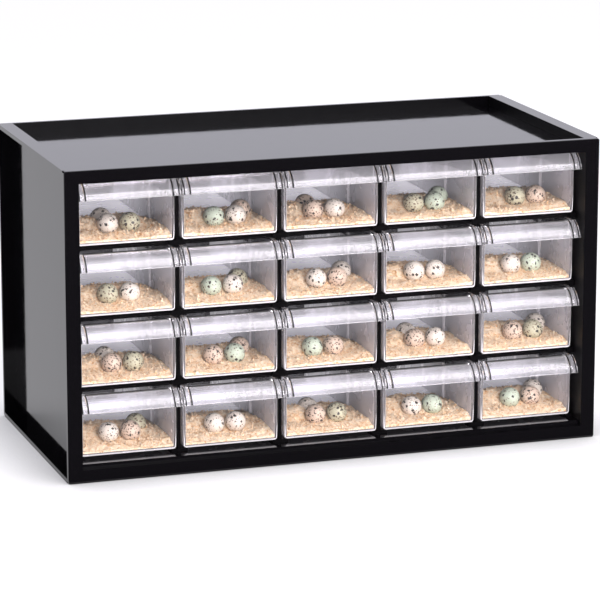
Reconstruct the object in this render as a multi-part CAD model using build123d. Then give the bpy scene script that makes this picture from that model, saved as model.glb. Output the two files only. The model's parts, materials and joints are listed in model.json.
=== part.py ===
from build123d import *

import math
import os

# A desk-top cabinet for small birds' eggs: a black moulded casing with an interlocked grid of
# shelves and partitions, and twenty clear drawers that slide forward on runners. Each drawer
# has a curved full-width pull, and holds eggs on a heap of fine wood shavings.
# Millimetres. X runs along the front, Y from front to back, Z up. The origin is at the centre
# of the footprint, on the table.

# Casing
cab_w = 380.0
cab_d = 186.0
cab_h = 213.0
rim_w = 9.0             # face width of the front and rear frames, top and bottom
rim_side = 10.0         # and at their sides
front_t = 4.0           # depth of the front frame
rear_t = 3.0            # depth of the rear frame
corner_r = 1.5          # outer corners of both frames
edge_break = 0.4        # the frames' outer edges
side_web = 1.8          # wall of the side panels
flange_t = 3.0          # flanges that run along the side panels, top and bottom
top_sink = 7.0          # how far the top panel lies below the rims
top_t = 2.5
floor_rise = 3.0        # floor above the lower edge of the front opening
floor_t = 4.0
back_t = 2.5

# Grid of cells
columns = 5
rows = 4
wall_t = 2.0            # partitions
shelf_t = 1.8
slot_gap = 0.1          # each side of a half-lap slot
grid_set = 17.0         # front edge of the partitions behind the front face
shelf_set = 18.0        # front edge of the shelves behind the front face
rail_h = 1.6            # runners on the shelves and the floor
rail_bite = 3.2         # how far a runner reaches in under a drawer
lug_w = 4.4             # blocks that close the front ends of the runners
lug_set = 15.6
ledge_w = 1.2           # ledges on the side panels under the shelves' ends
ledge_h = 1.5
ledge_set = 20.0

# Drawers
run_gap = 0.3           # a drawer above its runners
head_gap = 1.6          # a drawer below the shelf over it
side_gap = 1.7          # a drawer to the partition beside it
box_l = 154.0
box_set = 15.0          # front wall behind the front face of the cabinet
back_gap = 1.0          # closed drawer to the back panel
box_wall = 1.6
box_floor = 1.6
box_foot_r = 2.0        # rounded lower edges
inner_r = 0.8           # rounded lower edges of the inside
lip_reach = 10.0        # pull forward of the front wall
lip_drop = 10.8         # height of the pull
lip_bulge = 2.0         # rise of the pull's arc over its chord
lip_t = 1.5
lip_out = 1.8           # how far each end of the pull stands out past the box at its top
lip_flare = 2.3         # and at its lower edge
cheek_t = 1.2           # end walls of the pull
gusset_t = 1.0          # thin web inside each end of the pull
gusset_in = 3.0         # from the outside of the box to the web
guide_w = 0.9           # upright guides that hold a divider
guide_h = 0.8
guide_gap = 1.6
guide_low = 5.0         # guides end below the top edge
guide_at = (0.36, 0.64) # along the inside of the drawer

# Contents
bed_gap = 0.3           # shavings to the drawer
bed_l = 72.0            # length of the heap, from the front wall
bed_front = 2.8         # height of the shavings at the front wall
bed_nest = 2.8          # height where the eggs lie
bed_crest = 10.2        # top of the heap, behind the eggs
bed_left = 8.6         # top of the heap at the left wall
bed_right = 5.0         # top of the heap at the right wall
bed_tail = 1.5
nest_y = 22.0           # from the front wall to the foot of the heap behind the eggs
crest_y = 38.0          # from the front wall to the crest
crest_l = 9.0
crest_w = 16.0
egg_r = 7.0
egg_blunt = 7.8         # widest section to the blunt end
egg_sharp = 9.4        # widest section to the pointed end
egg_sides = 8           # flats round an egg, kept few because there are over fifty
egg_rings = (35.0, 65.0)    # degrees from each tip, besides the widest section
egg_lift = 0.5          # lowest egg above the drawer's floor
nest_gap = 0.3          # shavings to the eggs
egg_space = 1.4         # between two eggs side by side
pair_x = 3.5            # middle of the front pair, right of the drawer's middle
pair_y = 24.0           # widest section of the front pair behind the front wall
pair_drift = 1.1        # a pair lies further to the right from column to column
pair_sway = 1.4         # and a little to either side of that
egg_turn = 6.0          # largest turn of a front egg, in degrees
third_step = {"l": (0.0, 17.8), "r": (8.0, 15.2)}   # third egg right of and behind the front one
third_up = 0.5
clutches = ("lrlrp", "prrpp", "lrplr", "rplpr")   # per row: pair, third egg at the left or right

# Worked out from the sizes above
front_y = -cab_d / 2
in_x = cab_w / 2 - rim_side
col_pitch = 2 * in_x / columns
box_w = col_pitch - wall_t - 2 * side_gap
web_x = in_x + side_web
case_front = front_y + front_t
case_back = cab_d / 2 - rear_t
case_l = case_back - case_front
top_z = cab_h - top_sink - top_t
floor_z = rim_w + floor_rise
back_y = front_y + box_set + box_l + back_gap
row_pitch = (top_z - floor_z + shelf_t) / rows
box_h = row_pitch - shelf_t - rail_h - run_gap - head_gap


def block(x0, x1, y0, y1, z0, z1):
    """A box between two corners."""
    return Pos((x0 + x1) / 2, (y0 + y1) / 2, (z0 + z1) / 2) * Box(x1 - x0, y1 - y0, z1 - z0)


def column_x(col):
    return (col - (columns - 1) / 2) * col_pitch


def partition_xs():
    return [(column_x(c) + column_x(c + 1)) / 2 for c in range(columns - 1)]


def deck_z(level):
    """Top of the floor (level 0) or of a shelf."""
    return floor_z + level * row_pitch


def frame(y0, depth, outward):
    """One ring of the casing, its outer face rounded."""
    outline = RectangleRounded(cab_w, cab_h, corner_r)
    opening = Rectangle(cab_w - 2 * rim_side, cab_h - 2 * rim_w)
    upright = Plane(origin=(0, y0 + depth, cab_h / 2), x_dir=(1, 0, 0), z_dir=(0, -1, 0))
    solid = extrude(upright * outline, depth)
    face = solid.faces().sort_by(Axis.Y)[0 if outward < 0 else -1]
    solid = chamfer(face.edges(), edge_break)
    return solid - extrude(upright * opening, depth)


def side_panel(side):
    """A side wall with its flanges, the runners' end lugs and the ledges under the shelves."""
    profile = (
        Pos((in_x + web_x) / 2, cab_h / 2) * Rectangle(web_x - in_x, cab_h)
        + Pos((in_x + cab_w / 2) / 2, flange_t / 2) * Rectangle(rim_side, flange_t)
        + Pos((in_x + cab_w / 2) / 2, cab_h - flange_t / 2) * Rectangle(rim_side, flange_t)
    )
    upright = Plane(origin=(0, case_back, 0), x_dir=(1, 0, 0), z_dir=(0, -1, 0))
    solid = extrude(upright * profile, case_l)
    lug_y = (front_y + lug_set, front_y + shelf_set)
    for level in range(1, rows):
        z = deck_z(level)
        solid += block(in_x - lug_w, in_x, *lug_y, z - shelf_t, z + rail_h)
        low = z - shelf_t - ledge_h
        solid += block(in_x - ledge_w, in_x, front_y + ledge_set, back_y, low, z - shelf_t)
    solid += block(in_x - lug_w, in_x, *lug_y, floor_z, floor_z + rail_h)
    return solid if side > 0 else mirror(solid, about=Plane.YZ)


def runners(level, y0, y1):
    """The strips that carry a row of drawers, beside the partitions and the side walls."""
    strips = []
    z = deck_z(level)
    for col in range(columns):
        for side in (-1, 1):
            inner = column_x(col) + side * (box_w / 2 - rail_bite)
            outer = column_x(col) + side * (col_pitch / 2 - wall_t / 2 - slot_gap)
            if col == (0 if side < 0 else columns - 1):
                outer = side * in_x
            strips.append(block(min(inner, outer), max(inner, outer), y0, y1, z, z + rail_h))
    return strips


def floor_panel():
    solid = block(-in_x, in_x, case_front, case_back, floor_z - floor_t, floor_z)
    return solid + runners(0, front_y + shelf_set, back_y)


def shelf(level):
    """A shelf with its runners, slotted from the front for the partitions."""
    y0 = front_y + shelf_set
    middle = (y0 + back_y) / 2
    z = deck_z(level)
    solid = block(-in_x, in_x, y0, back_y, z - shelf_t, z) + runners(level, y0, back_y)
    half = wall_t / 2 + slot_gap
    slots = [block(x - half, x + half, y0, middle, z - shelf_t, z) for x in partition_xs()]
    return solid - slots


def partition(x):
    """An upright wall of the grid, slotted from the back, with a lug at each crossing."""
    y0 = front_y + grid_set
    middle = (front_y + shelf_set + back_y) / 2
    solid = block(x - wall_t / 2, x + wall_t / 2, y0, back_y, floor_z, top_z)
    half = wall_t / 2 + lug_w
    lug_y = (front_y + lug_set, front_y + shelf_set)
    solid += block(x - half, x + half, *lug_y, floor_z, floor_z + rail_h)
    for level in range(1, rows):
        z = deck_z(level)
        solid -= block(x - wall_t, x + wall_t, middle, back_y, z - shelf_t - slot_gap, z + slot_gap)
        solid += block(x - half, x + half, *lug_y, z - shelf_t, z + rail_h)
    return solid


def box_section(inset, foot, radius):
    """Front view of the box, or of its inside, with rounded lower corners."""
    half = box_w / 2 - inset
    outline = Polygon((-half, foot), (half, foot), (half, box_h), (-half, box_h), align=None)
    return fillet(outline.vertices().sort_by(Axis.Y)[:2], radius)


def drawer_box():
    """The open box, its front wall's outer face at y = 0 and its underside at z = 0."""
    rear = Plane(origin=(0, box_l, 0), x_dir=(1, 0, 0), z_dir=(0, -1, 0))
    outer = extrude(rear * box_section(0, 0, box_foot_r), box_l)
    inside = Plane(origin=(0, box_l - box_wall, 0), x_dir=(1, 0, 0), z_dir=(0, -1, 0))
    inner = extrude(inside * box_section(box_wall, box_floor, inner_r), box_l - 2 * box_wall)
    return outer - inner


def divider_guides():
    """Pairs of upright ribs on both side walls, each to hold a divider."""
    guides = []
    half = box_w / 2 - box_wall
    for share, step in ((share, step) for share in guide_at for step in (-1, 1)):
        y = box_wall + share * (box_l - 2 * box_wall) + step * (guide_gap + guide_w) / 2
        spot = (y - guide_w / 2, y + guide_w / 2, box_floor + inner_r, box_h - guide_low)
        guides.append(block(-half, guide_h - half, *spot))
        guides.append(block(half - guide_h, half, *spot))
    return guides


def lip_section(inset):
    """The filled side view of the pull, its arc drawn in by an inset. X is forward, Y is up."""
    chord = math.hypot(lip_reach, lip_drop)
    radius = (chord * chord / 4 + lip_bulge * lip_bulge) / (2 * lip_bulge)
    back = radius - lip_bulge
    centre_x = lip_reach / 2 - back * lip_drop / chord
    centre_y = box_h - lip_drop / 2 - back * lip_reach / chord
    window = Pos(lip_reach / 2, box_h - lip_drop / 2) * Rectangle(lip_reach, lip_drop)
    return window & (Pos(centre_x, centre_y) * Circle(radius - inset))


def end_slopes(inset):
    """The front view of the pull: wider than the box, and wider still at its lower edge."""
    low = box_h - lip_drop
    top = box_w / 2 + lip_out - inset
    foot = box_w / 2 + lip_flare - inset
    return Polygon((-foot, low), (foot, low), (top, box_h), (-top, box_h), align=None)


def pull():
    """The curved pull: an arched sheet between two sloping end walls, open from below."""
    side_view = Plane(origin=(box_w, 0, 0), x_dir=(0, -1, 0), z_dir=(-1, 0, 0))
    front_view = Plane(origin=(0, 0, 0), x_dir=(1, 0, 0), z_dir=(0, -1, 0))
    body = extrude(side_view * lip_section(0), 2 * box_w) & extrude(front_view * end_slopes(0), lip_reach)
    hollow = extrude(side_view * lip_section(lip_t), 2 * box_w)
    hollow &= extrude(front_view * end_slopes(cheek_t), lip_reach)
    for side in (-1, 1):
        web = side * (box_w / 2 - gusset_in)
        hollow -= block(web - gusset_t / 2, web + gusset_t / 2, -lip_reach, 0, 0, box_h)
    return body - hollow


def drawer():
    return drawer_box() + divider_guides() + pull()


def egg(grow):
    """An egg lying along Y, its blunt end to the front, grown all round by a clearance."""
    blunt = egg_blunt + grow
    sharp = egg_sharp + grow
    turns = [(-blunt, angle) for angle in egg_rings] + [(sharp, angle) for angle in (90.0, *egg_rings[::-1])]
    sections = [Vertex(0, -blunt, 0)]
    for reach, angle in turns:
        radius = (egg_r + grow) * math.sin(math.radians(angle))
        at = Plane(origin=(0, reach * math.cos(math.radians(angle)), 0), x_dir=(1, 0, 0), z_dir=(0, 1, 0))
        sections.append(at * RegularPolygon(radius, egg_sides))
    sections.append(Vertex(0, sharp, 0))
    return loft(sections, ruled=True)


def clutch(kind, col, row):
    """Places of the eggs in one drawer: a front pair, and a third egg behind it."""
    side_step = egg_r + egg_space / 2
    z = box_floor + egg_lift + egg_r
    turn = egg_turn * math.sin(2.1 * col + 1.3 * row)
    drift = pair_drift * (col - (columns - 1) / 2)
    middle = pair_x + drift + pair_sway * math.sin(3.7 * row + 1.9 * col)
    places = [(middle - side_step, pair_y, z, turn), (middle + side_step, pair_y, z, -turn)]
    if kind != "p":
        way = -1 if kind == "l" else 1
        x = middle + way * side_step
        places[0 if way < 0 else 1] = (x, pair_y, z, 0)
        right, back = third_step[kind]
        places.append((x + right, pair_y + back, z + third_up, 0))
    return places


def heap():
    """Wood shavings, low at the front wall and heaped up behind the eggs."""
    half = box_w / 2 - box_wall - guide_h - bed_gap
    start = box_wall + bed_gap
    foot = box_floor + bed_gap
    side_view = Plane(origin=(half, start, foot), x_dir=(0, 1, 0), z_dir=(1, 0, 0))
    along = [(0, 0), (bed_l, 0), (bed_l, bed_tail), (crest_y + crest_l, bed_crest)]
    along += [(crest_y, bed_crest), (nest_y, bed_nest), (0, bed_front)]
    front_view = Plane(origin=(0, start + bed_l, foot), x_dir=(1, 0, 0), z_dir=(0, -1, 0))
    across = [(-half, 0), (half, 0), (half, bed_right), (crest_w, bed_nest)]
    across += [(crest_w / 2, bed_crest), (-crest_w / 2, bed_crest), (-half, bed_left)]
    length = extrude(side_view * Polygon(*along, align=None), -2 * half)
    return length & extrude(front_view * Polygon(*across, align=None), bed_l)


def contents(places, shavings, shell, hollow):
    """Eggs in their nests, as separate solids."""
    spots = [Pos(x, y, z) * Rot(0, 0, turn) for x, y, z, turn in places]
    bed = shavings - [spot * hollow for spot in spots]
    return Compound(children=[bed, *(spot * shell for spot in spots)])


def cabinet():
    parts = {
        "front_frame": frame(front_y, front_t, -1),
        "rear_frame": frame(case_back, rear_t, 1),
        "left_side_panel": side_panel(-1),
        "right_side_panel": side_panel(1),
        "top_panel": block(-in_x, in_x, case_front, case_back, top_z, top_z + top_t),
        "floor_panel": floor_panel(),
        "back_panel": block(-in_x, in_x, back_y, back_y + back_t, floor_z, top_z),
    }
    for level in range(1, rows):
        parts[f"shelf_{level}"] = shelf(level)
    for number, x in enumerate(partition_xs(), start=1):
        parts[f"partition_{number}"] = partition(x)
    return parts


def main():
    os.makedirs("parts", exist_ok=True)
    parts = cabinet()
    one_drawer = drawer()
    shavings = heap()
    shell = egg(0)
    hollow = egg(nest_gap)
    for row in range(rows):
        for col in range(columns):
            z = deck_z(rows - 1 - row) + rail_h + run_gap
            seat = Pos(column_x(col), front_y + box_set, z)
            name = f"r{row + 1}c{col + 1}"
            parts[f"drawer_{name}"] = seat * one_drawer
            places = clutch(clutches[row][col], col, row)
            parts[f"contents_{name}"] = seat * contents(places, shavings, shell, hollow)
    for name, shape in parts.items():
        export_step(shape, f"parts/{name}.step")


main()
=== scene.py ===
"""Dresses a black moulded cabinet of clear drawers that hold speckled eggs on wood shavings.

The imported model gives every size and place. The casing keeps its solids and gets its finish here.
Each drawer, egg and heap of shavings gets a finer mesh that stands for its solid and slides with
it. Sizes are in metres, unless their names end in mm.
"""

import json
import logging
import math
import random
from dataclasses import dataclass, field
from enum import Enum, IntEnum

import bpy
from mathutils import Matrix, Vector, noise

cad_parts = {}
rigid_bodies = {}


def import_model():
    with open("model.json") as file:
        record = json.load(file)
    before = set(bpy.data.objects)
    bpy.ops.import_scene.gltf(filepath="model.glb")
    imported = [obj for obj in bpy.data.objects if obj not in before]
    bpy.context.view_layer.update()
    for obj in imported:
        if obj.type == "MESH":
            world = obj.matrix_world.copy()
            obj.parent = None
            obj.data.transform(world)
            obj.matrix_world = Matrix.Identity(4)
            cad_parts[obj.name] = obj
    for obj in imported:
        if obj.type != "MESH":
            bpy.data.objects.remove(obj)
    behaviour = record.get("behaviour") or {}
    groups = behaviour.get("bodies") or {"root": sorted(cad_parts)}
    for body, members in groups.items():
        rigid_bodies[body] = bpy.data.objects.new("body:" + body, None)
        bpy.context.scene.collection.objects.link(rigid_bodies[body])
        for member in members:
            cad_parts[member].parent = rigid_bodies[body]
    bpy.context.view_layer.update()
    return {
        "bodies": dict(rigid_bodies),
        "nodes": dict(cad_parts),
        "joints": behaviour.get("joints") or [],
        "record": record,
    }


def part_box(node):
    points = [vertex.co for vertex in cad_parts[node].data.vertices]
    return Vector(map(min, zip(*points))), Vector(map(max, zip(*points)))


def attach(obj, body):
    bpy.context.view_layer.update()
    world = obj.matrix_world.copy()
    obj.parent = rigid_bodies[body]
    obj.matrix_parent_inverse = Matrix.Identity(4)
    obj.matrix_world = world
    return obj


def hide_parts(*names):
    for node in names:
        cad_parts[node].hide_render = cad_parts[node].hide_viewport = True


LOG = logging.getLogger("cabinet")
MM = 0.001
WELD = 0.01 * MM  # points of a solid closer than this are one point
NIL = 1e-6  # a length that counts as none
RANGE = ("From Min", "From Max", "To Min", "To Max")
Point = tuple[float, float, float]


def linear(code: str) -> tuple[float, float, float, float]:
    """Turns an sRGB hex code into a linear colour, by the curve of that standard.

    Args:
        code: six hex digits, with or without a leading hash.

    Returns:
        Red, green, blue and an alpha of 1.
    """
    digits = code.lstrip("#")
    shares = [int(digits[i : i + 2], 16) / 255 for i in (0, 2, 4)]
    rgb = [s / 12.92 if s <= 0.04045 else ((s + 0.055) / 1.055) ** 2.4 for s in shares]
    return (rgb[0], rgb[1], rgb[2], 1.0)


def add_node(
    tree: bpy.types.NodeTree, kind: str, settings: dict | None = None, links: dict | None = None
) -> bpy.types.Node:
    """Adds one node to a tree.

    Args:
        tree: the node tree.
        kind: the node's type name.
        settings: values for properties, or for inputs where no property has that name.
        links: input name or number to the socket that feeds it.

    Returns:
        The new node.
    """
    node = tree.nodes.new(kind)
    for name, value in (settings or {}).items():
        if isinstance(name, str) and hasattr(node, name):
            setattr(node, name, value)
        else:
            node.inputs[name].default_value = value
    for name, socket in (links or {}).items():
        tree.links.new(socket, node.inputs[name])
    return node


def new_material(name: str, **surface: object) -> tuple[bpy.types.Material, bpy.types.Node]:
    """Starts a material with one Principled shader.

    Args:
        name: the material's name.
        surface: values for the shader's sockets, with underscores for spaces.

    Returns:
        The material and its shader node.
    """
    material = bpy.data.materials.new(name)
    material.use_nodes = True
    shader = material.node_tree.nodes["Principled BSDF"]
    for socket, value in surface.items():
        shader.inputs[socket.replace("_", " ")].default_value = value
    return material, shader


def cycles_per_metre(size_mm: float) -> float:
    """Texture scale that repeats once in a size given in millimetres."""
    return 1.0 / (size_mm * MM)


# --------------------------------------------------------------------------------- finishes


@dataclass(frozen=True)
class GlossBlack:
    """High-impact polystyrene, black through and through, moulded in a polished tool.

    It is almost black face on and mirrors its surroundings at a glancing angle. Sink and flow leave
    the large faces slightly wavy, and handling leaves patches that are a touch less glossy.
    """

    name: str = "gloss_black_polystyrene"
    colour: str = "#09080b"
    ior: float = 1.53
    roughness: float = 0.07
    specular: float = 0.5
    wave_mm: float = 38.0
    wave_depth_mm: float = 0.12
    wave_strength: float = 0.25
    haze_mm: float = 9.0
    haze_levels: tuple[float, float] = (0.3, 0.75)
    haze_change: tuple[float, float] = (-0.02, 0.03)

    def build(self) -> bpy.types.Material:
        """Makes the material.

        Returns:
            The finished material.
        """
        material, shader = new_material(self.name, Base_Color=linear(self.colour), IOR=self.ior)
        shader.inputs["Specular IOR Level"].default_value = self.specular
        tree = material.node_tree
        place = add_node(tree, "ShaderNodeTexCoord").outputs["Object"]
        haze = add_node(
            tree, "ShaderNodeTexNoise",
            {"Scale": cycles_per_metre(self.haze_mm), "Detail": 4.0}, {"Vector": place},
        )
        ends = (self.roughness + change for change in self.haze_change)
        rough = add_node(
            tree, "ShaderNodeMapRange",
            dict(zip(RANGE, (*self.haze_levels, *ends))), {"Value": haze.outputs["Fac"]},
        )
        wave = add_node(
            tree, "ShaderNodeTexNoise",
            {"Scale": cycles_per_metre(self.wave_mm), "Detail": 1.0}, {"Vector": place},
        )
        bump = add_node(
            tree, "ShaderNodeBump",
            {"Strength": self.wave_strength, "Distance": self.wave_depth_mm * MM},
            {"Height": wave.outputs["Fac"]},
        )
        tree.links.new(rough.outputs["Result"], shader.inputs["Roughness"])
        tree.links.new(bump.outputs["Normal"], shader.inputs["Normal"])
        return material


@dataclass(frozen=True)
class Crystal:
    """Clear general-purpose polystyrene, injection moulded: glassy, with a little haze of its own.

    The haze gives the walls their pale cast. On the walls round the bed it is partly the walls' own
    haze and partly a painted reflection of the light that grazes them. Shadow rays and scattered
    light pass, as they do through a thin clear wall, apart from the share in shade. The glow is
    painted
    light: an emission that stands in for light that the clear walls lead there, and it grows with
    the depth between the two values of glow_y.
    """

    name: str
    colour: str
    transmission: float
    roughness: float
    shade: float
    glow: float = 0.0
    glow_y: tuple[float, float] = (-0.03, 0.05)
    glow_start: float = 0.1
    glow_colour: str = "#ece9ef"
    ior: float = 1.59
    ripple_mm: float = 14.0
    ripple_depth_mm: float = 0.1
    ripple_strength: float = 0.08
    ripple_levels: tuple[float, float] = (0.3, 0.7)
    ripple_change: tuple[float, float] = (0.7, 1.3)

    def build(self) -> bpy.types.Material:
        """Makes the material.

        Returns:
            The finished material.
        """
        material, shader = new_material(
            self.name,
            Base_Color=linear(self.colour),
            IOR=self.ior,
            Transmission_Weight=self.transmission,
            Emission_Color=linear(self.glow_colour),
        )
        tree = material.node_tree
        place = add_node(tree, "ShaderNodeTexCoord").outputs["Object"]
        # painted glow: emission that stands in for light led in through the clear walls
        if self.glow:
            self.paint_glow(tree, shader, place)
        ripple = add_node(
            tree, "ShaderNodeTexNoise",
            {"Scale": cycles_per_metre(self.ripple_mm), "Detail": 2.0}, {"Vector": place},
        )
        ends = (self.roughness * change for change in self.ripple_change)
        rough = add_node(
            tree, "ShaderNodeMapRange",
            dict(zip(RANGE, (*self.ripple_levels, *ends))), {"Value": ripple.outputs["Fac"]},
        )
        bump = add_node(
            tree, "ShaderNodeBump",
            {"Strength": self.ripple_strength, "Distance": self.ripple_depth_mm * MM},
            {"Height": ripple.outputs["Fac"]},
        )
        tree.links.new(rough.outputs["Result"], shader.inputs["Roughness"])
        tree.links.new(bump.outputs["Normal"], shader.inputs["Normal"])
        self.let_light_pass(tree, shader)
        return material

    def paint_glow(
        self, tree: bpy.types.NodeTree, shader: bpy.types.Node, place: bpy.types.NodeSocket
    ) -> None:
        """Adds the painted glow, an emission that grows with the depth.

        Args:
            tree: the material's node tree.
            shader: its shader node.
            place: the socket that gives Object coordinates.
        """
        spot = add_node(tree, "ShaderNodeSeparateXYZ", {}, {0: place})
        depth = add_node(
            tree, "ShaderNodeMapRange",
            {
                "interpolation_type": "SMOOTHSTEP",
                **dict(zip(RANGE, (*self.glow_y, self.glow * self.glow_start, self.glow))),
            },
            {"Value": spot.outputs["Y"]},
        )
        tree.links.new(depth.outputs["Result"], shader.inputs["Emission Strength"])

    def let_light_pass(self, tree: bpy.types.NodeTree, shader: bpy.types.Node) -> None:
        """Opens the wall to shadow rays and scattered light, apart from its shade.

        Args:
            tree: the material's node tree.
            shader: its shader node.
        """
        path = add_node(tree, "ShaderNodeLightPath")
        soft = add_node(
            tree, "ShaderNodeMath",
            {"operation": "MAXIMUM"},
            {0: path.outputs["Is Shadow Ray"], 1: path.outputs["Is Diffuse Ray"]},
        )
        alpha = add_node(
            tree, "ShaderNodeMapRange",
            {"To Min": 1.0, "To Max": self.shade}, {"Value": soft.outputs["Value"]},
        )
        tree.links.new(alpha.outputs["Result"], shader.inputs["Alpha"])


@dataclass(frozen=True)
class Shavings:
    """Fine softwood shavings and dust: matt, pale peach, with darker grains among them.

    Real dust is finer than grain_mm. It is drawn that coarse so that it shows.
    """

    pale: str = "#fde9d0"
    warm: str = "#f8d6ac"
    dark: str = "#d49f6c"
    warm_stop: float = 0.25
    pale_stop: float = 0.75
    roughness: float = 0.85
    ior: float = 1.45
    specular: float = 0.25
    grain_mm: float = 1.25
    grain_rise_mm: float = 0.5
    grain_strength: float = 0.9
    drift_mm: float = 9.0
    drift_levels: tuple[float, float] = (0.4, 0.7)
    drift_share: float = 0.5

    def build(self) -> bpy.types.Material:
        """Makes the material.

        Returns:
            The finished material.
        """
        material, shader = new_material(
            "softwood_shavings", Roughness=self.roughness, IOR=self.ior
        )
        shader.inputs["Specular IOR Level"].default_value = self.specular
        tree = material.node_tree
        place = add_node(tree, "ShaderNodeTexCoord").outputs["Object"]
        grain = add_node(
            tree, "ShaderNodeTexVoronoi",
            {"Scale": cycles_per_metre(self.grain_mm)}, {"Vector": place},
        )
        tone = add_node(tree, "ShaderNodeSeparateColor", {}, {0: grain.outputs["Color"]})
        ramp = add_node(tree, "ShaderNodeValToRGB", {}, {"Fac": tone.outputs[0]})
        stops = ramp.color_ramp.elements
        stops[0].position = 0.0
        stops[0].color = linear(self.dark)
        stops[1].position = self.warm_stop
        stops[1].color = linear(self.warm)
        last = stops.new(self.pale_stop)
        last.color = linear(self.pale)
        drift = add_node(
            tree, "ShaderNodeTexNoise",
            {"Scale": cycles_per_metre(self.drift_mm), "Detail": 5.0}, {"Vector": place},
        )
        share = add_node(
            tree, "ShaderNodeMapRange",
            dict(zip(RANGE, (*self.drift_levels, 0.0, self.drift_share))),
            {"Value": drift.outputs["Fac"]},
        )
        mix = add_node(
            tree, "ShaderNodeMix",
            {"data_type": "RGBA", 7: linear(self.pale)},
            {0: share.outputs["Result"], 6: ramp.outputs["Color"]},
        )
        bump = add_node(
            tree, "ShaderNodeBump",
            {"Strength": self.grain_strength, "Distance": self.grain_rise_mm * MM},
            {"Height": tone.outputs[1]},
        )
        tree.links.new(mix.outputs[2], shader.inputs["Base Color"])
        tree.links.new(bump.outputs["Normal"], shader.inputs["Normal"])
        return material


class Shell(Enum):
    """The ground colours of the eggs."""

    CREAM = "#e9e0d6"
    GREEN = "#c6d2c0"
    PINK = "#dbc6b5"
    OLIVE = "#c4c1a8"


@dataclass(frozen=True)
class EggShell:
    """Calcite egg shell: smooth and faintly shiny, with dark blotches and fine freckles.

    The pores are drawn coarser than real ones, so that they show.
    """

    ground: Shell
    blotch: str = "#2a211d"
    freckle: str = "#6d5546"
    roughness: float = 0.42
    ior: float = 1.5
    blotch_mm: float = 3.6
    blotch_fade: tuple[float, float] = (0.25, 0.31)
    freckle_mm: float = 1.7
    fine_fade: tuple[float, float] = (0.19, 0.3)
    bold_fade: tuple[float, float] = (0.27, 0.4)
    wobble: float = 0.6
    pore_mm: float = 0.5
    pore_depth_mm: float = 0.1
    pore_strength: float = 0.15

    @property
    def freckle_fade(self) -> tuple[float, float]:
        """Where a freckle starts to fade and where it ends, as shares of its cell."""
        return self.bold_fade if self.ground in (Shell.PINK, Shell.OLIVE) else self.fine_fade

    def spots(
        self,
        tree: bpy.types.NodeTree,
        place: bpy.types.NodeSocket,
        size_mm: float,
        fade: tuple[float, float],
    ) -> bpy.types.NodeSocket:
        """Adds a mask of round spots with uneven outlines, at most one in each cell.

        Args:
            tree: the material's node tree.
            place: the socket that gives Object coordinates.
            size_mm: the size of a cell.
            fade: where a spot starts to fade and where it ends, as shares of its cell.

        Returns:
            The socket that gives the mask.
        """
        ragged = add_node(
            tree, "ShaderNodeTexNoise",
            {"Scale": cycles_per_metre(size_mm * self.wobble), "Detail": 2.0}, {"Vector": place},
        )
        shift = add_node(
            tree, "ShaderNodeVectorMath",
            {"operation": "SCALE", "Scale": size_mm * MM * self.wobble},
            {0: ragged.outputs["Color"]},
        )
        moved = add_node(
            tree, "ShaderNodeVectorMath",
            {"operation": "ADD"}, {0: place, 1: shift.outputs["Vector"]},
        )
        cells = add_node(
            tree, "ShaderNodeTexVoronoi",
            {"Scale": cycles_per_metre(size_mm)}, {"Vector": moved.outputs["Vector"]},
        )
        return add_node(
            tree, "ShaderNodeMapRange",
            dict(zip(RANGE, (*fade, 1.0, 0.0))), {"Value": cells.outputs["Distance"]},
        ).outputs["Result"]

    def build(self) -> bpy.types.Material:
        """Makes the material.

        Returns:
            The finished material.
        """
        material, shader = new_material(
            f"egg_shell_{self.ground.name.lower()}", Roughness=self.roughness, IOR=self.ior
        )
        tree = material.node_tree
        place = add_node(tree, "ShaderNodeTexCoord").outputs["Object"]
        freckles = add_node(
            tree, "ShaderNodeMix",
            {"data_type": "RGBA", 6: linear(self.ground.value), 7: linear(self.freckle)},
            {0: self.spots(tree, place, self.freckle_mm, self.freckle_fade)},
        )
        blotches = add_node(
            tree, "ShaderNodeMix",
            {"data_type": "RGBA", 7: linear(self.blotch)},
            {
                0: self.spots(tree, place, self.blotch_mm, self.blotch_fade),
                6: freckles.outputs[2],
            },
        )
        pores = add_node(
            tree, "ShaderNodeTexNoise",
            {"Scale": cycles_per_metre(self.pore_mm), "Detail": 2.0}, {"Vector": place},
        )
        bump = add_node(
            tree, "ShaderNodeBump",
            {"Strength": self.pore_strength, "Distance": self.pore_depth_mm * MM},
            {"Height": pores.outputs["Fac"]},
        )
        tree.links.new(blotches.outputs[2], shader.inputs["Base Color"])
        tree.links.new(bump.outputs["Normal"], shader.inputs["Normal"])
        return material


# ----------------------------------------------------------------------------- mesh helpers


def deselect_all() -> None:
    """Leaves object mode with nothing selected."""
    if bpy.context.object and bpy.context.object.mode != "OBJECT":
        bpy.ops.object.mode_set(mode="OBJECT")
    bpy.ops.object.select_all(action="DESELECT")


def make_active(piece: bpy.types.Object) -> None:
    """Selects one object alone and makes it active.

    Args:
        piece: the object.
    """
    deselect_all()
    piece.select_set(True)
    bpy.context.view_layer.objects.active = piece


def apply_modifier(piece: bpy.types.Object, kind: str, **settings: object) -> None:
    """Adds a modifier and applies it.

    Args:
        piece: the object that gets it.
        kind: the modifier's type name.
        settings: values for its properties.
    """
    make_active(piece)
    modifier = piece.modifiers.new(kind.lower(), kind)
    for name, value in settings.items():
        setattr(modifier, name, value)
    bpy.ops.object.modifier_apply(modifier=modifier.name)


def copy_moved(master: bpy.types.Object, name: str, step: Vector) -> bpy.types.Object:
    """Copies a piece, moved in a mesh of its own.

    Args:
        master: the piece to copy.
        name: the copy's name.
        step: how far it is moved.

    Returns:
        The copy.
    """
    piece = bpy.data.objects.new(name, master.data.copy())
    piece.data.transform(Matrix.Translation(step))
    bpy.context.scene.collection.objects.link(piece)
    return piece


# ------------------------------------------------------------------------------ the cabinet


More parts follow.
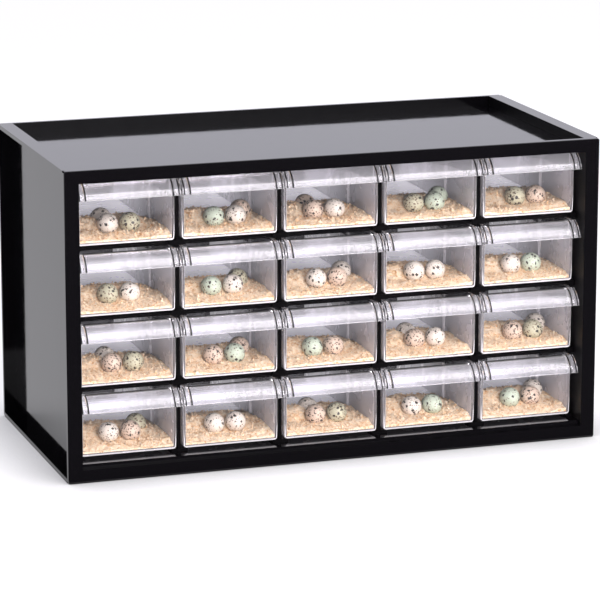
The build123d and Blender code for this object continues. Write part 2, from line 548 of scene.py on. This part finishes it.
@dataclass
class Casing:
    """The frames, panels, shelves and partitions, which keep the model's solids."""

    gloss: GlossBlack = GlossBlack()
    inside: GlossBlack = GlossBlack(
        "satin_black_polystyrene", "#09080a", roughness=0.45, specular=0.14
    )
    inner_x: float = 180.2 * MM
    sideways: float = 0.9

    def dress(self, frame: dict) -> None:
        """Gives every solid of the casing its finish.

        Args:
            frame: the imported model.
        """
        gloss = self.gloss.build()
        inside = self.inside.build()
        for name in frame["record"]["behaviour"]["bodies"]["cabinet"]:
            node = frame["nodes"][name]
            node.data.materials.clear()
            if name.startswith(("shelf", "partition")):
                node.data.materials.append(inside)
            else:
                node.data.materials.append(gloss)
                node.data.materials.append(inside)
                self.mark_inside(node, name.endswith("side_panel"))
            LOG.info("dressed %s", name)

    def mark_inside(self, node: bpy.types.Object, panel: bool) -> None:
        """Gives the faces round the drawers the satin finish, which is the second one.

        Args:
            node: a frame or panel.
            panel: whether it is a side panel, where every face between the inner walls counts.
        """
        for face in node.data.polygons:
            inward = panel or abs(face.normal.x) > self.sideways
            face.material_index = int(inward and abs(face.center.x) < self.inner_x)


@dataclass(frozen=True)
class DrawerSizes:
    """Sizes of a drawer's solid that its finer mesh and its contents are fitted to.

    The lip is the pull: its drop is its height, its reach is how far it stands out from the front
    wall, and its flare is how far each end stands out past the box.
    """

    wall: float = 1.6 * MM
    lip_drop: float = 10.8 * MM
    lip_reach: float = 10.0 * MM
    lip_flare: float = 2.3 * MM


BOX = DrawerSizes()


class Zone(IntEnum):
    """The regions of a drawer, numbered as its material slots."""

    CLEAR = 0
    DUSTY = 1
    PULL = 2
    EDGE = 3
    REAR = 4
    RIB = 5
    LIT = 6


def drawer_finishes() -> dict[Zone, Crystal]:
    """Lists the finish of each region of a drawer.

    Returns:
        The finishes, in the order of the slots.
    """
    even = (-1.0, -0.9)  # both in front of the cabinet, so the glow is the same at any depth
    return {
        Zone.CLEAR: Crystal("clear_polystyrene", "#f8f7fb", 1.0, 0.03, 0.08),
        # walls round the bed: pale haze, partly their own and partly a painted reflection of
        # grazing light, with a painted glow that grows with the depth
        Zone.DUSTY: Crystal("dusty_polystyrene", "#e9e6ee", 0.42, 0.25, 0.08, 0.22),
        # pull: a faint even painted glow, emission that stands in for light led through the sheet
        Zone.PULL: Crystal("pull_polystyrene", "#f3f1f8", 0.955, 0.1, 0.06, 0.09, even),
        Zone.EDGE: Crystal("edge_polystyrene", "#f1f0f6", 0.62, 0.2, 0.2),
        # floor behind the bed: frosted, with a painted glow that grows with the depth
        Zone.REAR: Crystal("frosted_polystyrene", "#f4f2fa", 0.5, 0.3, 0.2, 0.5),
        # ribs and the pull's right-facing edges: painted dark, a painted reflection of the black
        # casing inside them
        Zone.RIB: Crystal("shaded_rib_polystyrene", "#131217", 0.0, 0.3, 0.3),
        # outline round the front wall: a painted highlight, white haze with an even painted glow
        Zone.LIT: Crystal("lit_edge_polystyrene", "#f4f3f9", 0.3, 0.2, 0.2, 0.25, even),
    }


@dataclass
class Drawers:
    """The clear drawers, each a copy of one finely edged moulding.

    The regions are told apart by the place and the normal of each face. The shares of a normal
    are upright (the most that points up on an upright face), flat (the least on the floor),
    forward (the least towards the viewer on the pull's sheet), aslant (the least to the right
    on an edge painted dark) and across (the least sideways on an end wall of the pull). Angles
    are in degrees.
    """

    finishes: dict[Zone, Crystal] = field(default_factory=drawer_finishes)
    edge: float = 0.45 * MM
    corner: float = 0.8 * MM
    outline: float = 2.1 * MM
    lip_slack: float = 0.5 * MM
    flush: float = 0.05 * MM
    slack: float = 0.2 * MM
    strip: float = 1.6 * MM
    # height of the clear band at the top of the walls, above the hazy walls with their painted glow
    clear_top: float = 14.0 * MM
    bed: float = 76.0 * MM
    past_wall: float = 2.4 * MM
    seam: float = 1.5 * MM
    sheet_start: float = 0.6 * MM
    ribs: tuple[tuple[float, float], ...] = ((1.0 * MM, 1.9 * MM), (5.0 * MM, 6.0 * MM))
    flat_angle: float = 2.0
    edge_angle: float = 35.0
    smooth_angle: float = 40.0
    upright: float = 0.3
    flat: float = 0.9
    forward: float = 0.2
    aslant: float = 0.25
    across: float = 0.7
    low: Vector = field(init=False)
    high: Vector = field(init=False)

    @property
    def front(self) -> float:
        """Where the front wall stands."""
        return self.low.y + BOX.lip_reach

    def master(self, node: bpy.types.Object) -> bpy.types.Object:
        """Models one drawer: the solid's faces joined up, its edges rounded, its regions dressed.

        Args:
            node: the model's solid of that drawer.

        Returns:
            The finished drawer.
        """
        piece = bpy.data.objects.new("drawer_master", node.data.copy())
        bpy.context.scene.collection.objects.link(piece)
        piece.data.materials.clear()
        for finish in self.finishes.values():
            piece.data.materials.append(finish.build())
        make_active(piece)
        bpy.ops.object.mode_set(mode="EDIT")
        bpy.ops.mesh.select_all(action="SELECT")
        bpy.ops.mesh.remove_doubles(threshold=WELD)
        bpy.ops.mesh.dissolve_limited(angle_limit=math.radians(self.flat_angle))
        self.low, self.high = (Vector(corner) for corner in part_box(node.name))
        self.round_front(piece)
        self.cut_regions()
        self.cut_ribs(piece)
        bpy.ops.object.mode_set(mode="OBJECT")
        apply_modifier(
            piece,
            "BEVEL",
            width=self.edge,
            segments=2,
            limit_method="ANGLE",
            angle_limit=math.radians(self.edge_angle),
            material=Zone.EDGE,
        )
        make_active(piece)
        bpy.ops.object.shade_smooth_by_angle(angle=math.radians(self.smooth_angle))
        apply_modifier(piece, "WEIGHTED_NORMAL", mode="FACE_AREA", weight=100, keep_sharp=True)
        for face in piece.data.polygons:
            face.material_index = self.zone(face)
        return piece

    def round_front(self, piece: bpy.types.Object) -> None:
        """Rounds the outline of the front wall below the pull, in edit mode.

        Args:
            piece: the drawer.
        """
        lip_foot = self.high.z - BOX.lip_drop + self.lip_slack
        middle = (self.low.x + self.high.x) / 2
        side = (self.high.x - self.low.x) / 2 - BOX.lip_flare - self.outline
        bpy.ops.mesh.select_mode(type="EDGE")
        bpy.ops.mesh.select_all(action="DESELECT")
        bpy.ops.object.mode_set(mode="OBJECT")
        spots = [vertex.co for vertex in piece.data.vertices]
        picked = 0
        for edge in piece.data.edges:
            edge.select = all(
                abs(end.y - self.front) < self.flush
                and end.z < lip_foot
                and (abs(end.x - middle) > side or end.z < self.low.z + self.outline)
                for end in (spots[index] for index in edge.vertices)
            )
            picked += edge.select
        LOG.info("front outline: %d edges", picked)
        bpy.ops.object.mode_set(mode="EDIT")
        bpy.ops.mesh.bevel(offset=self.corner, segments=3, material=Zone.EDGE)
        bpy.ops.mesh.select_mode(type="VERT")

    def cut_regions(self) -> None:
        """Cuts the drawer in edit mode where one region ends and the next one starts."""
        cuts = (
            ((0, 0, self.low.z + self.strip), (0, 0, 1)),
            ((0, 0, self.high.z - self.clear_top), (0, 0, 1)),
            ((0, self.front + self.bed, 0), (0, 1, 0)),
        )
        for spot, way in cuts:
            bpy.ops.mesh.select_all(action="SELECT")
            bpy.ops.mesh.bisect(plane_co=spot, plane_no=way)

    def cut_ribs(self, piece: bpy.types.Object) -> None:
        """Cuts the pull's sheet in edit mode along the ribs behind it, so that they can take a
        painted dark reflection.

        Args:
            piece: the drawer.
        """
        for cut in sorted((edge for rib in self.ribs for edge in rib), reverse=True):
            for x, way in ((self.low.x + cut, 1), (self.high.x - cut, -1)):
                bpy.ops.mesh.select_all(action="DESELECT")
                bpy.ops.object.mode_set(mode="OBJECT")
                for face in piece.data.polygons:
                    ahead = face.center.y < self.front - self.slack
                    face.select = ahead and face.normal.y < -self.forward
                bpy.ops.object.mode_set(mode="EDIT")
                bpy.ops.mesh.select_mode(type="FACE")
                bpy.ops.mesh.bisect(plane_co=(x, 0, 0), plane_no=(way, 0, 0))
        bpy.ops.mesh.select_mode(type="VERT")

    def zone(self, face: bpy.types.MeshPolygon) -> Zone:
        """Finds the region of one face. The bevels have marked theirs as edges by then.

        Args:
            face: a face of the drawer.

        Returns:
            The face's region.
        """
        centre, normal = face.center, face.normal
        low, high, front = self.low, self.high, self.front
        behind_front = centre.y > front + self.past_wall
        upright = abs(normal.z) < self.upright
        if face.material_index == Zone.EDGE:
            if behind_front:
                return Zone.EDGE if upright else Zone.DUSTY
            if centre.y < front - self.sheet_start and normal.x > self.aslant:
                return Zone.RIB
            return Zone.LIT if upright and centre.y > front - self.seam else Zone.EDGE
        if behind_front:
            on_floor = normal.z > self.flat and centre.z < low.z + BOX.wall + self.slack
            if on_floor and centre.y > front + self.bed:
                return Zone.REAR
            on_rear = centre.y > high.y - self.past_wall
            return Zone.CLEAR if on_rear or centre.z >= high.z - self.clear_top else Zone.DUSTY
        if centre.z < low.z + self.strip:
            return Zone.DUSTY
        if centre.y > front - self.slack or abs(normal.x) > self.across:
            return Zone.CLEAR
        from_end = min(centre.x - low.x, high.x - centre.x)
        on_rib = any(start < from_end < end for start, end in self.ribs)
        return Zone.RIB if on_rib and normal.y < -self.forward else Zone.PULL

    def build(self, frame: dict) -> None:
        """Makes every drawer, and hides the solids they stand for.

        Args:
            frame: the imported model.
        """
        names = sorted(n for n in frame["nodes"] if n.startswith("drawer_"))
        first = names[0]
        master = self.master(frame["nodes"][first])
        start = Vector(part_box(first)[0])
        for name in names:
            step = Vector(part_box(name)[0]) - start
            piece = copy_moved(master, f"{name}_moulding", step)
            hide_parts(name)
            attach(piece, name)
            LOG.info("built %s", piece.name)
        bpy.data.objects.remove(master)


@dataclass
class Egg:
    """One egg. Its centre is that of its widest section, and its axis points to its sharp end."""

    centre: Vector
    axis: Vector
    length: float = 17.2 * MM
    radius: float = 7.0 * MM
    blunt: float = 7.8 * MM
    segments: int = 40
    rings: int = 24

    @property
    def sharp(self) -> float:
        """Distance from the widest section to the sharp end."""
        return self.length - self.blunt

    def build(self, name: str, shell: bpy.types.Material) -> bpy.types.Object:
        """Models the egg: a sphere drawn out to a blunt and a sharp end, then set in place.

        Args:
            name: the egg's name.
            shell: its finish.

        Returns:
            The finished egg.
        """
        deselect_all()
        bpy.ops.mesh.primitive_uv_sphere_add(
            segments=self.segments, ring_count=self.rings, radius=self.radius
        )
        egg = bpy.context.object
        egg.name = name
        bpy.ops.object.mode_set(mode="EDIT")
        for way, reach in ((-1, self.blunt), (1, self.sharp)):
            bpy.ops.mesh.select_all(action="DESELECT")
            bpy.ops.object.mode_set(mode="OBJECT")
            for vertex in egg.data.vertices:
                vertex.select = way * vertex.co.z > NIL
            bpy.ops.object.mode_set(mode="EDIT")
            bpy.ops.transform.resize(
                value=(1, 1, reach / self.radius), center_override=(0, 0, 0)
            )
        bpy.ops.object.mode_set(mode="OBJECT")
        turn = self.axis.to_track_quat("Z", "Y").to_matrix().to_4x4()
        egg.data.transform(Matrix.Translation(self.centre) @ turn)
        bpy.ops.object.shade_smooth()
        egg.data.materials.append(shell)
        return egg


@dataclass
class Clutch:
    """The eggs of one drawer, found among the separate solids of the drawer's contents."""

    node: bpy.types.Object
    length_slack: float = 0.5 * MM
    row_depth: float = 4.0 * MM

    def eggs(self) -> list[Egg]:
        """Finds the eggs: the solids that are as long as one.

        Returns:
            The eggs, from front to back and from left to right.
        """
        probe = bpy.data.objects.new("probe", self.node.data.copy())
        bpy.context.scene.collection.objects.link(probe)
        make_active(probe)
        bpy.ops.object.mode_set(mode="EDIT")
        bpy.ops.mesh.select_all(action="SELECT")
        bpy.ops.mesh.remove_doubles(threshold=WELD)
        bpy.ops.mesh.separate(type="LOOSE")
        bpy.ops.object.mode_set(mode="OBJECT")
        eggs = []
        for solid in list(bpy.context.selected_objects):
            spots = [vertex.co.copy() for vertex in solid.data.vertices]
            front = min(spots, key=lambda spot: spot.y)
            axis = max(spots, key=lambda spot: spot.y) - front
            if abs(axis.length - Egg.length) < self.length_slack:
                axis.normalize()
                eggs.append(Egg(front + axis * Egg.blunt, axis))
            bpy.data.objects.remove(solid)
        return sorted(eggs, key=lambda egg: (round(egg.centre.y / self.row_depth), egg.centre.x))


@dataclass
class Heap:
    """The shape of one heap of shavings, low in front and heaped up behind the eggs.

    Its crest runs from left to right through the heights left, crest, sag of the crest and right,
    and the nest in front of it through shares of its height. The lumps are three sizes of
    unevenness: the width of a lump in millimetres, how the seed shifts it, and its height in
    millimetres. A run stops just short of its far end, to stay within its last stretch.
    """

    low: Vector
    high: Vector
    seed: int
    front: float = 1.1 * MM
    front_share: float = 0.5
    front_slope: float = 9.0 * MM
    nest: float = 2.3 * MM
    nest_run: tuple[float, ...] = (1.4, 1.0, 0.95, 1.9)
    nest_y: float = 19.0 * MM
    left: float = 8.2 * MM
    crest: float = 10.0 * MM
    sag: float = 0.93
    right: float = 4.2 * MM
    crest_y: float = 38.0 * MM
    tail: float = 1.0 * MM
    least: float = 0.4 * MM
    lumps: tuple[Point, ...] = ((11.0, 3.7, 1.2), (2.6, 7.1, 0.7), (1.1, 1.3, 0.45))
    run_end: float = 0.9999

    def height(self, x: float, y: float) -> float:
        """Gives the height of the heap over the drawer's floor.

        Args:
            x: place from left to right.
            y: place from front to back.

        Returns:
            The height.
        """
        share = (x - self.low.x) / (self.high.x - self.low.x)
        depth = y - self.low.y
        length = self.high.y - self.low.y
        crest = self.profile(share, (self.left, self.crest, self.crest * self.sag, self.right))
        nest = self.profile(share, tuple(self.nest * part for part in self.nest_run))
        if depth < self.nest_y:
            foot = self.front + self.front_share * (nest - self.nest)
            height = self.blend(foot, nest, depth / self.front_slope)
        elif depth < self.crest_y:
            height = self.blend(nest, crest, (depth - self.nest_y) / (self.crest_y - self.nest_y))
        else:
            height = self.blend(crest, self.tail, (depth - self.crest_y) / (length - self.crest_y))
        for width, shift, rise in self.lumps:
            cell = width * MM
            height += noise.noise(Vector((x / cell, y / cell, self.seed * shift))) * rise * MM
        return max(self.least, height)

    @staticmethod
    def blend(a: float, b: float, t: float) -> float:
        """Eased step from a to b as t goes from 0 to 1."""
        t = min(1.0, max(0.0, t))
        return a + (b - a) * t * t * (3 - 2 * t)

    def profile(self, share: float, values: tuple[float, ...]) -> float:
        """Eased run through evenly spaced values.

        Args:
            share: place along the run, from 0 to 1.
            values: the values.

        Returns:
            The value at that place.
        """
        spot = min(max(share, 0.0), self.run_end) * (len(values) - 1)
        index = int(spot)
        return self.blend(values[index], values[index + 1], spot - index)


@dataclass
class Chip:
    """One curled chip: a closed thin strip of a few rows of points, bent along its length."""

    length: float
    width: float
    bend: float
    thick: float = 0.14 * MM
    rows: int = 4

    @classmethod
    def cut(cls, pick: random.Random) -> "Chip":
        """Cuts a chip of a random length, width and bend.

        Args:
            pick: the source of random numbers.

        Returns:
            The chip.
        """
        length = pick.uniform(1.6, 3.4) * MM
        width = pick.uniform(0.6, 1.2) * MM
        return cls(length, width, pick.uniform(0.4, 1.6))

    def shape(self) -> tuple[list[Point], list[tuple[int, ...]]]:
        """Works out the strip.

        Returns:
            Its points, four to a row, and its faces, round the strip and over its ends.
        """
        spots = []
        radius = self.length / self.bend
        for row in range(self.rows):
            angle = self.bend * (row / (self.rows - 1) - 0.5)
            for x in (-self.width / 2, self.width / 2):
                for reach in (radius, radius - self.thick):
                    spots.append((x, reach * math.sin(angle), radius - reach * math.cos(angle)))
        quads = []
        for a in range(0, 4 * (self.rows - 1), 4):
            b = a + 4
            quads += [(a, a + 2, b + 2, b), (a + 1, b + 1, b + 3, a + 3)]
            quads += [(a, b, b + 1, a + 1), (a + 2, a + 3, b + 3, b + 2)]
        end = 4 * (self.rows - 1)
        quads += [(0, 1, 3, 2), (end, end + 2, end + 3, end + 1)]
        return spots, quads


@dataclass
class Bed:
    """The shavings of one drawer: a heap that the eggs press into, strewn with loose chips.

    The margins keep the chips clear of the walls and of the heap's far end. A chip follows the
    heap's slope by the share settle, leans by up to lean radians and is scaled by grow.
    """

    name: str
    drawer: str
    eggs: list[Egg]
    seed: int
    gap: float = 0.15 * MM
    length: float = 72.0 * MM
    step: float = 0.8 * MM
    press: float = 0.1 * MM
    shapes: int = 6
    flakes: int = 700
    margin: float = 1.5 * MM
    far_margin: float = 4.0 * MM
    settle: float = 0.6
    lean: float = 0.8
    grow: tuple[float, float] = (0.7, 1.25)
    lift: float = 0.12 * MM
    smooth_angle: float = 50.0
    heap: Heap = field(init=False)

    def __post_init__(self) -> None:
        """Fits the heap between the drawer's walls, on its floor."""
        low, high = (Vector(corner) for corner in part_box(self.drawer))
        inset = BOX.lip_flare + BOX.wall + self.gap
        self.left, self.right = low.x + inset, high.x - inset
        self.front = low.y + BOX.lip_reach + BOX.wall + self.gap
        self.back = self.front + self.length
        self.floor = low.z + BOX.wall + self.gap
        self.heap = Heap(
            Vector((self.left, self.front, self.floor)),
            Vector((self.right, self.back, self.floor)),
            self.seed,
        )

    def build(self, wood: bpy.types.Material) -> bpy.types.Object:
        """Models the shavings: a fine grid raised to the heap, closed below, strewn with chips.

        Args:
            wood: the finish of the shavings.

        Returns:
            The finished bed.
        """
        wide, deep = self.right - self.left, self.back - self.front
        middle = ((self.left + self.right) / 2, (self.front + self.back) / 2, self.floor)
        deselect_all()
        bpy.ops.mesh.primitive_grid_add(
            x_subdivisions=round(wide / self.step), y_subdivisions=round(deep / self.step), size=1
        )
        bed = bpy.context.object
        bed.name = self.name
        bed.data.transform(Matrix.Diagonal((wide, deep, 1, 1)))
        bed.data.transform(Matrix.Translation(middle))
        for vertex in bed.data.vertices:
            vertex.co.z = self.floor + self.height(vertex.co)
        bpy.ops.object.mode_set(mode="EDIT")
        bpy.ops.mesh.select_all(action="SELECT")
        bpy.ops.mesh.region_to_loop()
        bpy.ops.mesh.extrude_region_move()
        bpy.ops.object.mode_set(mode="OBJECT")
        for vertex in bed.data.vertices:
            if vertex.select:
                vertex.co.z = self.floor
        bpy.ops.object.mode_set(mode="EDIT")
        bpy.ops.mesh.edge_face_add()
        bpy.ops.mesh.select_all(action="SELECT")
        bpy.ops.mesh.normals_make_consistent(inside=False)
        bpy.ops.object.mode_set(mode="OBJECT")
        bpy.ops.object.shade_smooth_by_angle(angle=math.radians(self.smooth_angle))
        bed.data.materials.append(wood)
        self.strew(bed, wood)
        return bed

    def height(self, spot: Vector) -> float:
        """Gives the height of the heap over the drawer's floor, pressed down under the eggs.

        Args:
            spot: a place from left to right and from front to back.

        Returns:
            The height.
        """
        height = self.heap.height(spot.x, spot.y)
        for egg in self.eggs:
            offset = Vector((spot.x, spot.y, egg.centre.z)) - egg.centre
            along = offset.dot(egg.axis)
            across = (offset - egg.axis * along).length
            reach = egg.blunt if along < 0 else egg.sharp
            inside = 1 - (along / reach) ** 2 - (across / egg.radius) ** 2
            if inside > 0:
                shell = egg.centre.z - egg.radius * math.sqrt(inside)
                height = min(height, max(shell - self.press - self.floor, self.press))
        return height

    def strew(self, bed: bpy.types.Object, wood: bpy.types.Material) -> None:
        """Adds loose curled chips on top of the heap, joined into its mesh.

        Args:
            bed: the heap.
            wood: the finish of the chips.
        """
        pick = random.Random(self.seed)
        chips = [Chip.cut(pick).shape() for _ in range(self.shapes)]
        verts: list[Point] = []
        faces: list[tuple[int, ...]] = []
        while len(faces) < self.flakes * len(chips[0][1]):
            x = pick.uniform(self.heap.low.x + self.margin, self.heap.high.x - self.margin)
            y = pick.uniform(self.heap.low.y + self.margin, self.heap.high.y - self.far_margin)
            if self.height(Vector((x, y, 0))) < self.heap.height(x, y) - NIL:
                continue
            spots, quads = pick.choice(chips)
            place = self.chip_place(pick, x, y)
            start = len(verts)
            verts += [tuple(place @ Vector(spot)) for spot in spots]
            faces += [tuple(index + start for index in quad) for quad in quads]
        mesh = bpy.data.meshes.new("chips")
        mesh.from_pydata(verts, [], faces)
        mesh.materials.append(wood)
        loose = bpy.data.objects.new("chips", mesh)
        bpy.context.scene.collection.objects.link(loose)
        make_active(bed)
        loose.select_set(True)
        bpy.ops.object.join()

    def chip_place(self, pick: random.Random, x: float, y: float) -> Matrix:
        """Places one chip on the heap, turned and leaned at random.

        Args:
            pick: the source of random numbers.
            x: place from left to right.
            y: place from front to back.

        Returns:
            The chip's place, turn and scale.
        """
        height = self.heap.height
        slope_x = (height(x + MM, y) - height(x - MM, y)) / (2 * MM)
        slope_y = (height(x, y + MM) - height(x, y - MM)) / (2 * MM)
        up = Vector((-slope_x * self.settle, -slope_y * self.settle, 1)).normalized()
        tilt = up.to_track_quat("Z", "Y").to_matrix().to_4x4()
        turn = Matrix.Rotation(pick.uniform(0, math.tau), 4, "Z")
        lean = Matrix.Rotation(pick.uniform(-self.lean, self.lean), 4, "X")
        grow = Matrix.Scale(pick.uniform(*self.grow), 4)
        spot = (x, y, self.floor + height(x, y) + self.lift)
        return Matrix.Translation(spot) @ tilt @ turn @ lean @ grow


@dataclass
class Filling:
    """Eggs and shavings of every drawer.

    The shells give the ground colours, by first letter, for each row of drawers from the top and
    each drawer from the left, with the eggs in the order in which a clutch lists them.
    """

    shavings: Shavings = Shavings()
    shells: tuple[str, ...] = (
        "COC GCP CPP OGG OP",
        "OC GCO CPC CC CG",
        "OPC PGP GP CPC POC",
        "CPO CC OPC CG GPC",
    )

    def build(self, frame: dict) -> None:
        """Fills every drawer.

        Args:
            frame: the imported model.
        """
        wood = self.shavings.build()
        shells = {ground.name[0]: EggShell(ground).build() for ground in Shell}
        names = sorted(n for n in frame["nodes"] if n.startswith("contents_"))
        for seed, name in enumerate(names):
            drawer = name.replace("contents", "drawer")
            place = name[-4:]
            row, column = int(place[1]) - 1, int(place[3]) - 1
            codes = self.shells[row].split()[column]
            eggs = Clutch(frame["nodes"][name]).eggs()
            pieces = [
                egg.build(f"egg_{place}_{index + 1}", shells[codes[index % len(codes)]])
                for index, egg in enumerate(eggs)
            ]
            pieces.append(Bed(f"shavings_{place}", drawer, eggs, seed).build(wood))
            for piece in pieces:
                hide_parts(name)
                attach(piece, drawer)
            LOG.info("filled %s with %d eggs", drawer, len(eggs))


# -------------------------------------------------------------------------------- the studio


@dataclass(frozen=True)
class Softbox:
    """A rectangular soft light that faces the cabinet."""

    name: str
    at: Point
    size: tuple[float, float]
    power: float
    tint: str
    target: Point = (0, -0.1, 0.1)

    def build(self) -> bpy.types.Object:
        """Makes the light.

        Returns:
            The light.
        """
        data = bpy.data.lights.new(self.name, "AREA")
        data.shape = "RECTANGLE"
        data.size, data.size_y = self.size
        data.energy = self.power
        data.color = linear(self.tint)[:3]
        light = bpy.data.objects.new(self.name, data)
        light.location = self.at
        bpy.context.scene.collection.objects.link(light)
        way = Vector(self.target) - light.location
        light.rotation_euler = way.to_track_quat("-Z", "Y").to_euler()
        return light


@dataclass
class Studio:
    """A pale table, soft light, dark cards that keep reflections off, and the camera.

    Each card gives its size, its place and whether it stands upright. They are on the table,
    behind the camera and far to the left.
    """

    camera_at: Point = (-0.722, -2.1875, 0.6369)
    azimuth: float = 18.35
    elevation: float = 13.31
    lens: float = 201.6
    sensor: float = 36.0
    clip_end: float = 50.0
    key: Softbox = Softbox("key", (0.3, -1.15, 1.25), (1.2, 1.0), 26.0, "#fffaf5")
    front: Softbox = Softbox("front", (0.05, -2.0, 0.22), (1.0, 0.35), 30.0, "#fff9f4")
    gloss: Softbox = Softbox("gloss", (0.42, -1.2, 1.3), (1.7, 2.1), 12.0, "#faf9ff")
    sky_tint: str = "#f0effa"
    sky_unseen: float = 0.55
    sky_seen: float = 1.08
    table_size: float = 12.0
    table_colour: str = "#f4f4f5"
    table_glow: str = "#fbfaff"
    table_seen: float = 1.5
    table_mirrored: float = 0.84
    table_share: float = 0.5
    painted_contact_shadow: float = 60.0 * MM
    card_colour: str = "#0c0c0e"
    cards: tuple[tuple[str, tuple[float, float], Point, bool], ...] = (
        ("table_card", (2.6, 1.906), (0.4, -1.047, 0.001), False),
        ("front_card", (6.0, 2.6), (0.0, -3.6, 1.3), True),
        ("left_card", (2.4, 1.3), (-1.55, 1.5, 0.78), True),
    )

    def build_world(self) -> None:
        """Makes it white all round for the camera, mirrors and clear walls, softer elsewhere."""
        world = bpy.data.worlds.new("studio")
        bpy.context.scene.world = world
        world.use_nodes = True
        tree = world.node_tree
        back = tree.nodes["Background"]
        path = add_node(tree, "ShaderNodeLightPath")
        shiny = add_node(
            tree, "ShaderNodeMath",
            {"operation": "MAXIMUM"},
            {0: path.outputs["Is Camera Ray"], 1: path.outputs["Is Glossy Ray"]},
        )
        seen = add_node(
            tree, "ShaderNodeMath",
            {"operation": "MAXIMUM"},
            {0: shiny.outputs["Value"], 1: path.outputs["Is Transmission Ray"]},
        )
        strength = add_node(
            tree, "ShaderNodeMapRange",
            {"To Min": self.sky_unseen, "To Max": self.sky_seen}, {"Value": seen.outputs["Value"]},
        )
        tint = add_node(
            tree, "ShaderNodeMix",
            {"data_type": "RGBA", 6: linear(self.sky_tint), 7: (1, 1, 1, 1)},
            {0: path.outputs["Is Camera Ray"]},
        )
        tree.links.new(tint.outputs[2], back.inputs["Color"])
        tree.links.new(strength.outputs["Result"], back.inputs["Strength"])

    def build_table(self) -> None:
        """Makes a pale table top with a glow of its own and a painted contact shadow where the
        cabinet stands.
        """
        deselect_all()
        bpy.ops.mesh.primitive_plane_add(size=self.table_size)
        table = bpy.context.object
        table.name = "table"
        material, shader = new_material(
            "pale_table", Base_Color=linear(self.table_colour), Roughness=0.6
        )
        tree = material.node_tree
        path = add_node(tree, "ShaderNodeLightPath")
        level = add_node(
            tree, "ShaderNodeMapRange",
            {"To Min": self.table_seen, "To Max": self.table_mirrored},
            {"Value": path.outputs["Is Glossy Ray"]},
        )
        glow = add_node(
            tree, "ShaderNodeEmission",
            {"Color": linear(self.table_glow)}, {"Strength": level.outputs["Result"]},
        )
        part = add_node(
            tree, "ShaderNodeMath",
            {"operation": "MULTIPLY", 1: self.table_share}, {0: path.outputs["Is Camera Ray"]},
        )
        share = add_node(
            tree, "ShaderNodeMath",
            {"operation": "MAXIMUM"}, {0: part.outputs["Value"], 1: path.outputs["Is Glossy Ray"]},
        )
        mix = add_node(
            tree, "ShaderNodeMixShader",
            {},
            {0: share.outputs["Value"], 1: shader.outputs["BSDF"], 2: glow.outputs["Emission"]},
        )
        # painted contact shadow: ambient occlusion darkens the table towards black near the cabinet
        painted_contact_shadow = add_node(
            tree, "ShaderNodeAmbientOcclusion", {"samples": 8, "Distance": self.painted_contact_shadow}
        )
        unlit = add_node(tree, "ShaderNodeEmission", {"Strength": 0.0})
        shaded = add_node(
            tree, "ShaderNodeMixShader",
            {}, {0: painted_contact_shadow.outputs["AO"], 1: unlit.outputs["Emission"], 2: mix.outputs["Shader"]},
        )
        output = tree.nodes["Material Output"]
        tree.links.new(shaded.outputs["Shader"], output.inputs["Surface"])
        table.data.materials.append(material)

    def build_cards(self) -> None:
        """Makes the dark cards, which only reflections see."""
        black, _ = new_material("black_card", Base_Color=linear(self.card_colour), Roughness=0.9)
        stand = Matrix.Rotation(math.radians(90), 4, "X")
        for name, size, at, upright in self.cards:
            deselect_all()
            bpy.ops.mesh.primitive_plane_add(size=1)
            card = bpy.context.object
            card.name = name
            card.data.transform(Matrix.Diagonal((*size, 1, 1)))
            card.data.transform(Matrix.Translation(at) @ (stand if upright else Matrix()))
            card.data.materials.append(black)
            card.visible_camera = False
            card.visible_diffuse = False
            card.visible_shadow = False
            card.visible_transmission = False

    def build_camera(self) -> None:
        """Sets the camera where the photograph was taken from."""
        data = bpy.data.cameras.new("camera")
        data.lens = self.lens
        data.sensor_width = self.sensor
        data.clip_end = self.clip_end
        camera = bpy.data.objects.new("camera", data)
        camera.location = self.camera_at
        camera.rotation_euler = (
            math.radians(90 - self.elevation), 0, math.radians(-self.azimuth)
        )
        bpy.context.scene.collection.objects.link(camera)
        bpy.context.scene.camera = camera

    def build(self) -> None:
        """Sets up everything round the cabinet."""
        bpy.context.scene.view_settings.view_transform = "Standard"
        self.build_world()
        self.build_table()
        self.build_cards()
        self.build_camera()
        self.key.build().visible_glossy = False
        self.front.build().visible_glossy = False
        self.gloss.build().visible_diffuse = False
        LOG.info("set up the studio")


def main() -> None:
    """Builds the cabinet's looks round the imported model."""
    logging.basicConfig(level=logging.INFO, format="%(message)s")
    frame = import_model()
    Casing().dress(frame)
    Drawers().build(frame)
    Filling().build(frame)
    Studio().build()
    deselect_all()


if __name__ == "__main__":
    main()
